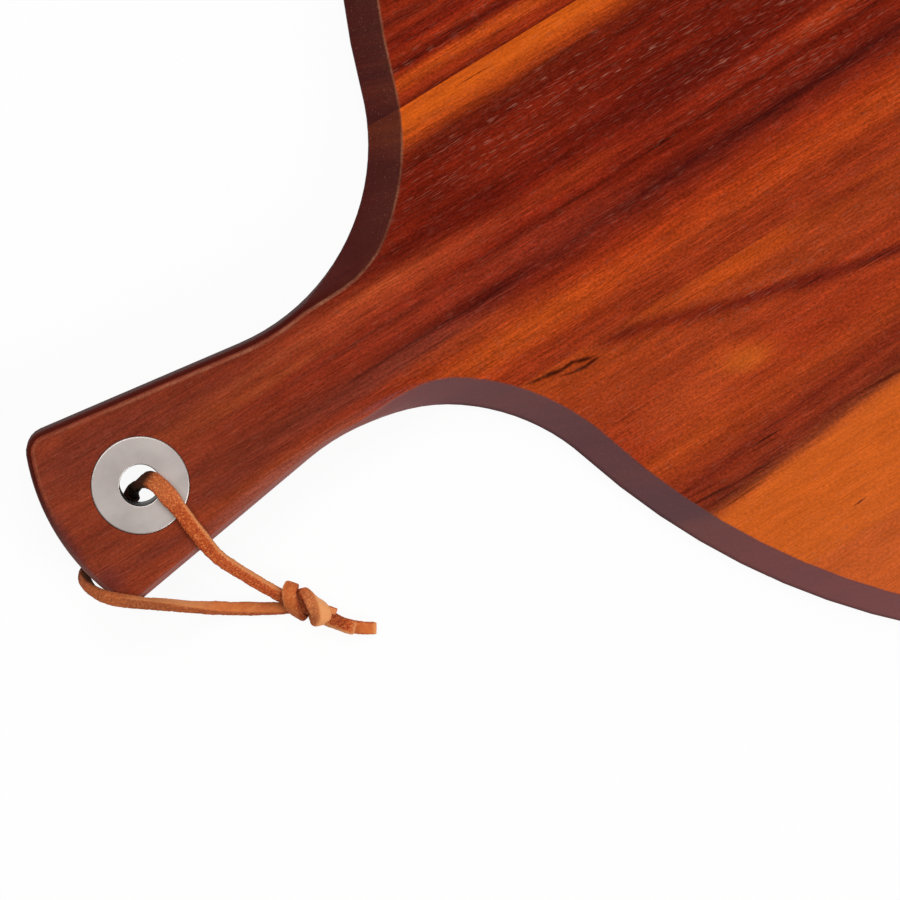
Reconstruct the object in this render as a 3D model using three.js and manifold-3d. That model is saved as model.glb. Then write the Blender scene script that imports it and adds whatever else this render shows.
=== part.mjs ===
// Round pizza board with a flared handle, edge-glued from five wooden staves.
// A metal eyelet is set through the handle, and a leather lace tied in a loop hangs from it.
// Millimetres, +Z up. +X runs from the handle to the round body, and +Y is to the left.
// The origin is on the surface that the board lies on, midway along its length.
import * as THREE from 'three';
import { mergeVertices } from 'three/addons/utils/BufferGeometryUtils.js';
import Module from 'manifold-3d';

const { degToRad, lerp, smoothstep } = THREE.MathUtils;

// Outline of the board, seen from above
const BODY_RADIUS = 178;
const EYELET_TO_BODY = 264;
const EYELET_TO_END = 23;
const HANDLE_HALF_WIDTH = 21.2; // at the eyelet
const HANDLE_FLARE = degToRad(8.4); // each side widens by this angle towards the handle's end
const NECK_RADIUS = 51;
const END_RADIUS = 53;
const CORNER_RADIUS = 5.3;

// Section of the board
const THICKNESS = 16;
const BEVEL_RUN = 7;
const BEVEL_DROP = 12;
const EDGE_ROUND = 1.8; // upper edge of the handle
const UNDER_ROUND = 1.2;
const HANDLE_LIFT = 4; // the handle's underside stands this far off the table

// The bevel and the lift change over along the neck, at these distances from the eyelet
const BEVEL_FADE = [52, 74];
const LIFT_FADE = [42, 90];

// Glue joints between the staves, from the left edge to the right
const GLUE_JOINTS = [115, 43.5, -27.3, -99.8];
const GLUE_LINE = 0.1;

// Eyelet set through the handle
const FLANGE_RADIUS = 11.4;
const FLANGE_THICKNESS = 1;
const FLANGE_PROUD = 0.2;
const FLANGE_ROUND = 0.3;
const BORE_RADIUS = 4.9;
const BARREL_WALL = 0.6;
const WASHER_RADIUS = 10;
const WASHER_THICKNESS = 1;
const SWAGE = 0.7; // the barrel's lower lip is spread into the washer by this much
const SIDE_CLEARANCE = 0.3;
const SEAT_CLEARANCE = 0.05;

// Leather lace
const LACE_WIDTH = 3.1;
const LACE_THICKNESS = 2.1;
const LACE_CORNER = 0.5;
const LACE_STEP = 1.8;

// Knot tied in the doubled lace: a core of both strands and three wraps round it
const KNOT_CENTRE = new THREE.Vector3(-191.3, -46.6, 3.85);
const KNOT_HEADING = degToRad(-57.7); // direction from the strands to the tails
const KNOT_CORE_RADIUS = 2.9;
const KNOT_CORE_ENDS = [-6.2, 5.8];
const KNOT_WRAP_RADIUS = 2.75;
const KNOT_WRAPS = [
  { along: -4.1, lean: degToRad(34) },
  { along: 0.6, lean: degToRad(24) },
  { along: 3.2, lean: degToRad(12) },
];

// Segments of the round forms
const END_STEPS = 8;
const CORNER_STEPS = 5;
const NECK_STEPS = 22;
const BODY_STEPS = 44;
const ROUND_STEPS = 48;
const WRAP_STEPS = 24;
const SIDES = 8;

const LENGTH = EYELET_TO_END + EYELET_TO_BODY + BODY_RADIUS;
const END_X = -LENGTH / 2;
const EYELET_X = END_X + EYELET_TO_END;
const BODY_X = EYELET_X + EYELET_TO_BODY;
const BARREL_RADIUS = BORE_RADIUS + BARREL_WALL;
const FLANGE_SEAT_Z = THICKNESS + FLANGE_PROUD - FLANGE_THICKNESS;
const WASHER_SEAT_Z = HANDLE_LIFT + WASHER_THICKNESS;

const wasm = await Module();
wasm.setup();

function toSolid(geometry) {
  const bare = geometry.clone();
  bare.deleteAttribute('normal');
  bare.deleteAttribute('uv');
  const merged = mergeVertices(bare, 1e-4);
  const vertProperties = new Float32Array(merged.attributes.position.array);
  const triVerts = new Uint32Array(merged.index.array);
  return new wasm.Manifold(new wasm.Mesh({ numProp: 3, vertProperties, triVerts }));
}

function toGeometry(solid) {
  const { vertProperties, triVerts } = solid.getMesh();
  const geometry = new THREE.BufferGeometry();
  geometry.setAttribute('position', new THREE.BufferAttribute(vertProperties, 3));
  geometry.setIndex(new THREE.BufferAttribute(triVerts, 1));
  return geometry;
}

// A ring turned about the eyelet's axis. The profile runs up the outer wall and down the inner one.
function turned(profile) {
  const closed = [...profile, profile[0]].map(([r, z]) => new THREE.Vector2(r, z));
  return new THREE.LatheGeometry(closed, ROUND_STEPS).rotateX(Math.PI / 2).translate(EYELET_X, 0, 0);
}

// Centre of an arc that touches the handle's straight left side, offset by the given distance,
// and lies at reach from another centre. Of the two places, towardsBody picks one.
function arcBesideHandle(offset, other, reach, towardsBody) {
  const along = new THREE.Vector2(Math.cos(HANDLE_FLARE), -Math.sin(HANDLE_FLARE));
  const out = new THREE.Vector2(Math.sin(HANDLE_FLARE), Math.cos(HANDLE_FLARE));
  const start = new THREE.Vector2(EYELET_X, HANDLE_HALF_WIDTH).addScaledVector(out, offset);
  const gap = start.clone().sub(other);
  const half = gap.dot(along);
  const root = Math.sqrt(half * half - gap.lengthSq() + reach * reach);
  return start.addScaledVector(along, towardsBody ? -half + root : -half - root);
}

// Points on an arc with their outward directions. A hollow arc has its centre outside the board.
function arcStations(centre, radius, from, to, steps, first = 0, hollow = false) {
  const stations = [];
  for (let i = first; i <= steps; i += 1) {
    const angle = lerp(from, to, i / steps);
    const out = new THREE.Vector2(Math.cos(angle), Math.sin(angle));
    const point = centre.clone().addScaledVector(out, radius);
    stations.push({ point, out: hollow ? out.negate() : out });
  }
  return stations;
}

// The left half of the outline, from the middle of the handle's end to the far side of the body
function halfOutline() {
  const endCentre = new THREE.Vector2(END_X + END_RADIUS, 0);
  const bodyCentre = new THREE.Vector2(BODY_X, 0);
  const corner = arcBesideHandle(-CORNER_RADIUS, endCentre, END_RADIUS - CORNER_RADIUS, false);
  const neck = arcBesideHandle(NECK_RADIUS, bodyCentre, BODY_RADIUS + NECK_RADIUS, false);
  const endTurn = corner.clone().sub(endCentre).angle();
  const sideTurn = Math.PI / 2 - HANDLE_FLARE;
  const bodyTurn = neck.clone().sub(bodyCentre).angle();
  return [
    ...arcStations(endCentre, END_RADIUS, Math.PI, endTurn, END_STEPS),
    ...arcStations(corner, CORNER_RADIUS, endTurn, sideTurn, CORNER_STEPS, 1),
    ...arcStations(neck, NECK_RADIUS, sideTurn + Math.PI, bodyTurn + Math.PI, NECK_STEPS, 0, true),
    ...arcStations(bodyCentre, BODY_RADIUS, bodyTurn, 0, BODY_STEPS, 1),
  ];
}

// Edge of the board from its underside to its top, as steps in from the outline and heights.
// The body has a wide bevel over a low upright edge, and the handle has rounded edges.
function edgeProfile(x) {
  const reach = x - EYELET_X;
  const bevel = smoothstep(reach, ...BEVEL_FADE);
  const floor = HANDLE_LIFT * (1 - smoothstep(reach, ...LIFT_FADE));
  const under = [0, 0.5, 1].map((t) => {
    const turn = (t * Math.PI) / 2;
    return [UNDER_ROUND * (1 - Math.sin(turn)), floor + UNDER_ROUND * (1 - Math.cos(turn))];
  });
  const upper = [0, 1 / 3, 2 / 3, 1].map((t) => {
    const turn = (t * Math.PI) / 2;
    const inset = lerp(EDGE_ROUND * (1 - Math.cos(turn)), BEVEL_RUN * t, bevel);
    const drop = lerp(EDGE_ROUND * (1 - Math.sin(turn)), BEVEL_DROP * (1 - t), bevel);
    return [inset, THICKNESS - drop];
  });
  return [...under, ...upper];
}

// The whole board before it is cut into staves: rings of points from the underside to the top
function boardBlank() {
  const half = halfOutline();
  const last = half.length - 1;
  const mirrored = half.slice(1, last).reverse().map(({ point, out }) => ({
    point: new THREE.Vector2(point.x, -point.y),
    out: new THREE.Vector2(out.x, -out.y),
  }));
  const loop = [...half, ...mirrored];
  const count = loop.length;
  const edges = loop.map(({ point }) => edgeProfile(point.x));
  const rings = edges[0].length;
  const positions = [];
  for (let ring = 0; ring < rings; ring += 1) {
    loop.forEach(({ point, out }, i) => {
      const [inset, z] = edges[i][ring];
      positions.push(point.x - inset * out.x, point.y - inset * out.y, z);
    });
  }
  const faces = [];
  for (let ring = 0; ring < rings - 1; ring += 1) {
    for (let i = 0; i < count; i += 1) {
      const a = ring * count + i;
      const b = ring * count + ((i + 1) % count);
      faces.push(a, a + count, b + count, a, b + count, b);
    }
  }
  const top = (rings - 1) * count;
  for (let i = 0; i < last; i += 1) {
    const left = i;
    const leftNext = i + 1;
    const right = (count - i) % count;
    const rightNext = count - i - 1;
    if (i > 0) {
      faces.push(top + left, top + right, top + rightNext);
      faces.push(left, rightNext, right);
    }
    if (i < last - 1) {
      faces.push(top + left, top + rightNext, top + leftNext);
      faces.push(left, leftNext, rightNext);
    }
  }
  const geometry = new THREE.BufferGeometry();
  geometry.setAttribute('position', new THREE.Float32BufferAttribute(positions, 3));
  geometry.setIndex(faces);
  return toSolid(geometry);
}

// Slab that holds one stave, between two glue joints
function staveSlab(low, high) {
  const slab = new THREE.BoxGeometry(2 * LENGTH, high - low, 4 * THICKNESS);
  return toSolid(slab.translate(0, (low + high) / 2, 0));
}

// Stepped hole through the handle: recesses for the flange and the washer, and a bore for the barrel
function eyeletHole() {
  const flange = FLANGE_RADIUS + SIDE_CLEARANCE;
  const washer = WASHER_RADIUS + SIDE_CLEARANCE;
  const barrel = BARREL_RADIUS + SIDE_CLEARANCE;
  const profile = [
    [0, -THICKNESS],
    [washer, -THICKNESS],
    [washer, WASHER_SEAT_Z + SEAT_CLEARANCE],
    [barrel, WASHER_SEAT_Z + SEAT_CLEARANCE],
    [barrel, FLANGE_SEAT_Z - SEAT_CLEARANCE],
    [flange, FLANGE_SEAT_Z - SEAT_CLEARANCE],
    [flange, 2 * THICKNESS],
    [0, 2 * THICKNESS],
  ].map(([r, z]) => new THREE.Vector2(r, z));
  const hole = new THREE.LatheGeometry(profile, ROUND_STEPS);
  return toSolid(hole.rotateX(Math.PI / 2).translate(EYELET_X, 0, 0));
}

function eyeletGeometry() {
  const top = THICKNESS + FLANGE_PROUD;
  return turned([
    [BARREL_RADIUS, HANDLE_LIFT + SWAGE],
    [BARREL_RADIUS, FLANGE_SEAT_Z],
    [FLANGE_RADIUS, FLANGE_SEAT_Z],
    [FLANGE_RADIUS, top - FLANGE_ROUND],
    [FLANGE_RADIUS - FLANGE_ROUND, top],
    [BORE_RADIUS + FLANGE_ROUND, top],
    [BORE_RADIUS, top - FLANGE_ROUND],
    [BORE_RADIUS, HANDLE_LIFT + SWAGE],
    [BORE_RADIUS + SWAGE, HANDLE_LIFT],
    [BARREL_RADIUS + SWAGE, HANDLE_LIFT],
  ]);
}

function washerGeometry() {
  const bore = BARREL_RADIUS + SIDE_CLEARANCE;
  return turned([
    [bore + SWAGE, HANDLE_LIFT],
    [WASHER_RADIUS, HANDLE_LIFT],
    [WASHER_RADIUS, WASHER_SEAT_Z],
    [bore, WASHER_SEAT_Z],
    [bore, HANDLE_LIFT + SWAGE],
  ]);
}

// Section of the lace, a flat strip with its corners taken off: thickness across x, width across y
function laceSection() {
  const t = LACE_THICKNESS / 2;
  const w = LACE_WIDTH / 2;
  const c = LACE_CORNER;
  const quarter = [[t, w - c], [t - c, w]];
  const left = [...quarter, ...quarter.map(([x, y]) => [-x, y]).reverse()];
  const corners = [...left, ...left.map(([x, y]) => [x, -y]).reverse()];
  return new THREE.Shape(corners.map(([x, y]) => new THREE.Vector2(x, y)));
}

// A strand starts flat at its knot end and keeps its section upright to its path without twisting.
function laceStrand(route) {
  const points = route.map((point) => new THREE.Vector3(...point));
  const path = new THREE.CatmullRomCurve3(points, false, 'centripetal');
  const steps = Math.ceil(path.getLength() / LACE_STEP);
  return new THREE.ExtrudeGeometry(laceSection(), { extrudePath: path, steps });
}

// From the knot up to the handle's edge, over the flange and down into the eyelet
const FRONT_ROUTE = [
  [-195.35, -41.1, 4.9],
  [-195.95, -40, 5.2],
  [-196.8, -38.4, 5.85],
  [-197.9, -36.2, 7],
  [-199.2, -33.3, 8.9],
  [-200.4, -30.6, 10.9],
  [-201.5, -28, 12.9],
  [-202.5, -25.4, 14.8],
  [-203.2, -22.8, 16.3],
  [-203.65, -20, 17.1],
  [-203.95, -17.2, 17.3],
  [-204.25, -14.4, 17.3],
  [-204.45, -11.6, 17.35],
  [-204.7, -9, 17.5],
  [-205, -6.6, 17.75],
  [-205.3, -4.4, 17.8],
  [-205.75, -2.3, 17.4],
  [-206.45, -0.75, 16.35],
  [-207.35, 0.15, 14.8],
  [-208.3, 0.45, 13.1],
  [-209.15, 0.28, 11.55],
  [-209.85, -0.02, 10.15],
];

// From the knot over the handle's corner, down past the end, under the handle and up into the eyelet
const BACK_ROUTE = [
  [-197.7, -43.7, 1.75],
  [-199.3, -42.75, 1.68],
  [-201.8, -41.25, 1.68],
  [-204.4, -39.6, 1.75],
  [-206.85, -38, 2.2],
  [-209.6, -35.95, 3.55],
  [-212.5, -33.7, 5.8],
  [-215.6, -31.1, 8.6],
  [-218.7, -28.25, 11.6],
  [-221.5, -25.85, 14.55],
  [-223.8, -23.8, 16.65],
  [-226, -21.9, 17.5],
  [-228.4, -19.85, 17.55],
  [-230.2, -18.05, 17.1],
  [-231.45, -16.5, 15.6],
  [-232.35, -15.2, 13.1],
  [-232.8, -14.15, 10.2],
  [-232.95, -13.3, 7.4],
  [-232.8, -12.7, 5.1],
  [-232.05, -12.05, 3.1],
  [-230.6, -11.3, 2],
  [-228.6, -10.3, 1.68],
  [-225.4, -8.7, 1.68],
  [-221.8, -6.8, 1.68],
  [-218.6, -5.1, 1.68],
  [-216.2, -3.85, 1.75],
  [-214, -2.6, 2.1],
  [-212.4, -1.7, 3.05],
  [-211.45, -1.1, 4.55],
  [-210.85, -0.7, 6.4],
  [-210.35, -0.35, 8.2],
  [-209.95, -0.1, 9.85],
];

const FRONT_TAIL_ROUTE = [
  [-188.75, -52.2, 4.5],
  [-187.7, -53.6, 4.4],
  [-186.4, -55.2, 4.3],
  [-184.5, -57.4, 4.15],
];

const BACK_TAIL_ROUTE = [
  [-188.2, -52.4, 1.4],
  [-186.6, -54.9, 1.25],
  [-184.8, -57, 1.2],
  [-182.6, -58.8, 1.2],
  [-180.1, -60.4, 1.2],
];

function knotGeometry() {
  const [start, end] = KNOT_CORE_ENDS;
  const core = [[0, start], [KNOT_CORE_RADIUS, start], [KNOT_CORE_RADIUS, end], [0, end]];
  const profile = core.map(([r, along]) => new THREE.Vector2(r, along));
  let knot = toSolid(new THREE.LatheGeometry(profile, WRAP_STEPS).rotateZ(-Math.PI / 2));
  KNOT_WRAPS.forEach(({ along, lean }) => {
    const wrap = new THREE.TorusGeometry(KNOT_WRAP_RADIUS, LACE_THICKNESS / 2, SIDES, WRAP_STEPS);
    wrap.scale(1, 1, LACE_WIDTH / LACE_THICKNESS);
    wrap.rotateY(Math.PI / 2).rotateZ(lean).translate(along, 0, 0);
    knot = knot.add(toSolid(wrap));
  });
  const { x, y, z } = KNOT_CENTRE;
  return toGeometry(knot).rotateZ(KNOT_HEADING).translate(x, y, z);
}

const board = new THREE.Group();

function place(name, geometry, material) {
  const mesh = new THREE.Mesh(geometry, new THREE.MeshStandardMaterial(material));
  mesh.name = name;
  board.add(mesh);
}

const STAVES = [
  { name: 'edge_stave_left', color: 0x8a3a1c },
  { name: 'inner_stave_left', color: 0x8f3416 },
  { name: 'handle_stave', color: 0x93421d },
  { name: 'inner_stave_right', color: 0xa2501f },
  { name: 'edge_stave_right', color: 0xb0602a },
];
const blank = boardBlank();
STAVES.forEach(({ name, color }, i) => {
  const high = i === 0 ? BODY_RADIUS + GLUE_LINE : GLUE_JOINTS[i - 1] - GLUE_LINE / 2;
  const low = i === GLUE_JOINTS.length ? -BODY_RADIUS - GLUE_LINE : GLUE_JOINTS[i] + GLUE_LINE / 2;
  let stave = blank.intersect(staveSlab(low, high));
  if (name === 'handle_stave') {
    stave = stave.subtract(eyeletHole());
  }
  place(name, toGeometry(stave), { color, roughness: 0.3, metalness: 0 });
});

const STEEL = { color: 0xb4aca6, roughness: 0.35, metalness: 1 };
place('eyelet', eyeletGeometry(), STEEL);
place('eyelet_washer', washerGeometry(), STEEL);

const LEATHER = { color: 0xc86a32, roughness: 0.8, metalness: 0 };
place('lace_front_strand', laceStrand(FRONT_ROUTE), LEATHER);
place('lace_back_strand', laceStrand(BACK_ROUTE), LEATHER);
place('lace_knot', knotGeometry(), LEATHER);
place('lace_tail_front', laceStrand(FRONT_TAIL_ROUTE), LEATHER);
place('lace_tail_back', laceStrand(BACK_TAIL_ROUTE), LEATHER);

export default board;
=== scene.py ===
import math

import bmesh
import bpy
from mathutils import Matrix, Vector, noise


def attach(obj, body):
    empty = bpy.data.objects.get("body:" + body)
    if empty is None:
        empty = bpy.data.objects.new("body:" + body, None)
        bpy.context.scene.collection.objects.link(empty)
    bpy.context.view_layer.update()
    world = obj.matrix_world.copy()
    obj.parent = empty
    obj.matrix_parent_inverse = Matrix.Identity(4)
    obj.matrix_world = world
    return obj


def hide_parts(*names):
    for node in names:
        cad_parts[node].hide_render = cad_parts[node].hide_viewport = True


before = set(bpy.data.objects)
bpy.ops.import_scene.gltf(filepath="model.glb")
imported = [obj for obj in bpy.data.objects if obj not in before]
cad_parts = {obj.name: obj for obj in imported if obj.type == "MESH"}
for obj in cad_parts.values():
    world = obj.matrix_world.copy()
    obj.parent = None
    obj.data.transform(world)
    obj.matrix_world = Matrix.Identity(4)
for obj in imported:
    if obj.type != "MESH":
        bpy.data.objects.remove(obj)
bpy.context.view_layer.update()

# The camera hangs almost straight above the eyelet, with a long lens, as in the photograph.
# The board runs out of the picture to the upper right. Sizes in this file are in millimetres.
MM = 0.001
CAMERA_PLACE = Vector((-170.67, 74.49, 960.6))
CAMERA_TURN = (-4.582, -4.767, -31.393)
LENS = 160.76
SENSOR_WIDTH = 36
NEAREST_SEEN = 50

camera = bpy.data.objects.new("camera", bpy.data.cameras.new("camera"))
bpy.context.scene.collection.objects.link(camera)
bpy.context.scene.camera = camera
camera.location = CAMERA_PLACE * MM
camera.rotation_euler = [math.radians(turn) for turn in CAMERA_TURN]
camera.data.sensor_width = SENSOR_WIDTH
camera.data.lens = LENS
camera.data.clip_start = NEAREST_SEEN * MM
bpy.context.scene.view_settings.view_transform = "Standard"

# The studio: white paper under a wide window-like softbox on the board's left and a lower one on
# its right. The paper is seen white, also in the metal, and it keeps part of the shadow.
FLOOR_SIZE = 12000
FLOOR_DROP = 0.05
SHADOW_SHARE = 0.07
ROOM_LIGHT = 0.16
LIT_SPOT = Vector((-100, 0, 0))


def linear(code):
    """An sRGB hex value as a linear colour."""
    channels = [int(code[i : i + 2], 16) / 255 for i in (1, 3, 5)]
    return [c / 12.92 if c <= 0.04045 else ((c + 0.055) / 1.055) ** 2.4 for c in channels] + [1]


def add(tree, kind, inputs=None, stops=(), **settings):
    """A new node with its settings. An input takes a value, or the output that it links to.

    Stops are a colour ramp's pairs of place and sRGB hex value."""
    made = tree.nodes.new("ShaderNode" + kind)
    for name, value in settings.items():
        setattr(made, name, value)
    for key, value in (inputs or {}).items():
        if isinstance(value, bpy.types.NodeSocket):
            tree.links.new(value, made.inputs[key])
        else:
            made.inputs[key].default_value = value
    marks = made.color_ramp.elements if stops else ()
    while len(marks) < len(stops):
        marks.new(1)
    for mark, (at, code) in zip(marks, stops):
        mark.position = at
        mark.color = linear(code)
    return made


def new_material(name):
    """An empty node material and its tree."""
    material = bpy.data.materials.new(name)
    material.use_nodes = True
    material.node_tree.nodes.clear()
    return material, material.node_tree


def finish_piece(bm, name, material):
    """The bmesh as a smooth object at the origin, in this material.

    Spin and extrude leave faces in another order each run, so they are sorted by their corners."""
    bm.verts.index_update()
    apart = len(bm.verts) ** 2
    corners = {face: [vert.index for vert in face.verts] for face in bm.faces}
    bm.faces.sort(key=lambda face: apart * max(corners[face]) + sum(corners[face]))
    mesh = bpy.data.meshes.new(name)
    bm.to_mesh(mesh)
    bm.free()
    for face in mesh.polygons:
        face.use_smooth = True
    mesh.materials.append(material)
    piece = bpy.data.objects.new(name, mesh)
    bpy.context.scene.collection.objects.link(piece)
    return piece


# Uncoated white paper: matt, lit so that it is seen as plain white with a faint shadow
paper, tree = new_material("white_paper")
ray = add(tree, "LightPath").outputs
seen = ray["Is Camera Ray"]
for kind in ("Is Glossy Ray", "Is Transmission Ray"):
    seen = add(tree, "Math", {0: seen, 1: ray[kind]}, operation="ADD", use_clamp=True).outputs[0]
share = add(tree, "Math", {0: seen, 1: 1 - SHADOW_SHARE}, operation="MULTIPLY")
matt = add(tree, "BsdfDiffuse", {"Color": linear("#f7f7f7")})
glow = add(tree, "Emission", {"Color": linear("#ffffff"), "Strength": 1.0})
mixed = add(tree, "MixShader", {0: share.outputs[0], 1: matt.outputs[0], 2: glow.outputs[0]})
add(tree, "OutputMaterial", {"Surface": mixed.outputs[0]})

bm = bmesh.new()
bmesh.ops.create_grid(bm, x_segments=1, y_segments=1, size=FLOOR_SIZE / 2 * MM)
bmesh.ops.translate(bm, verts=bm.verts, vec=(0, 0, -FLOOR_DROP * MM))
finish_piece(bm, "floor", paper)

world = bpy.data.worlds.new("studio")
bpy.context.scene.world = world
world.use_nodes = True
room = world.node_tree.nodes["Background"].inputs
room["Color"].default_value = linear("#ffffff")
room["Strength"].default_value = ROOM_LIGHT

for name, place, size, power in (
    ("window_softbox", (-100, 950, 1500), (2200, 900), 23),
    ("fill_softbox", (500, -1500, 1100), (1600, 1000), 25),
):
    lamp = bpy.data.lights.new(name, "AREA")
    lamp.shape = "RECTANGLE"
    lamp.size, lamp.size_y = [side * MM for side in size]
    lamp.energy = power
    softbox = bpy.data.objects.new(name, lamp)
    softbox.location = Vector(place) * MM
    softbox.rotation_euler = (LIT_SPOT - Vector(place)).to_track_quat("-Z", "Y").to_euler()
    bpy.context.scene.collection.objects.link(softbox)

# Five staves of acacia, planed, edge-glued, cut to the outline and bevelled with a cutter, then
# sanded and oiled. Each starts from its solid; the glue lines close and the bevel's upper edge
# is eased by hand. The heartwood is red-brown with long darker streaks, the sapwood amber.
BOARD_TOP = 16
# A face of a solid that lies within reach of a joint is moved up to half a glue line from it
GLUE_JOINTS = (115, 43.5, -27.3, -99.8)
JOINT_REACH = 0.06
GLUE_HALF = 0.005
SAME_POINT = 0.001
SAME_PLANE = math.radians(0.3)
ARRIS = 0.6
ARRIS_STEPS = 4
CREASE = math.radians(50)
# How far a face looks up, from 0 for a wall to 1: the flat top, the bevel at its upper edge, walls,
# and the bevel where it meets a wall
TOP_FACE = 0.9999
UNDER_ARRIS = (0.2, 0.99)
WALL = 0.1
OVER_WALL = (0.35, 0.65)
# Where along x the handle's rounded edge opens into the bevel, where hands have polished the handle less and
# less, and where its lower edge gets a paler painted reflection
NECK = (-122, -106)
POLISHED = (-185, -120)
LOWER_EDGE_SHEEN = (-142, -165)
# How strong the painted highlight on the upper edge is, by x, on five lines from the top face down over the
# arris
ARRIS_HIGHLIGHT = [(x, Vector(lines)) for x, lines in (
    (-233, (0, 0.03, 0.1, 0.03, 0)), (-227, (0, 0.1, 0.4, 0.1, 0)), (-216, (0, 0.2, 0.7, 0.15, 0)),
    (-205, (0, 0.3, 0.85, 0.2, 0)), (-192, (0, 0.55, 0.95, 0.45, 0)), (-168, (0, 0.6, 0.95, 0.45, 0)),
    (-155, (0, 0.65, 1, 0.75, 0.05)), (-142, (0, 0.8, 0.95, 0.9, 0.05)),
    (-137, (0, 0.25, 0.9, 0.5, 0.08)), (-60, (0, 0.25, 0.9, 0.5, 0.08)), (230, (0, 0, 0.3, 0.1, 0)),
)]
# The painted highlight is full on the upper left edge and weakest on the lower right, by y
HIGHLIGHT_MIDDLE = 0.4
HIGHLIGHT_LEAST = 0.15
HIGHLIGHT_RUN = 10

# The oiled wood's own tones, from sapwood down to the darkest heartwood
TONES = {
    "sapwood": "#cc5916",
    "honey": "#cc5e20",
    "amber": "#b04217",
    "russet": "#9b3716",
    "red": "#862610",
    "heart": "#711c0b",
    "dark": "#5c1508",
    "streak": "#4d120c",
    "brown": "#873822",
}
# Where along x a sloping grain is level with its stops, how much the growth rings lean per mm of
# depth, and the lines of the grain on which threads and pores crowd, by length and width
SLOPE_MIDDLE = -75
RING_LEAN = 0.2
GRAIN_LINE = (45, 0.9)


def value_at(stops, share):
    """A value read between (share, value) stops, eased from one to the next."""
    for (a, low), (b, high) in zip(stops, stops[1:]):
        if share <= b:
            t = min(1, max(0, (share - a) / (b - a)))
            return low + (high - low) * t * t * (3 - 2 * t)
    return stops[-1][1]


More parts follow.
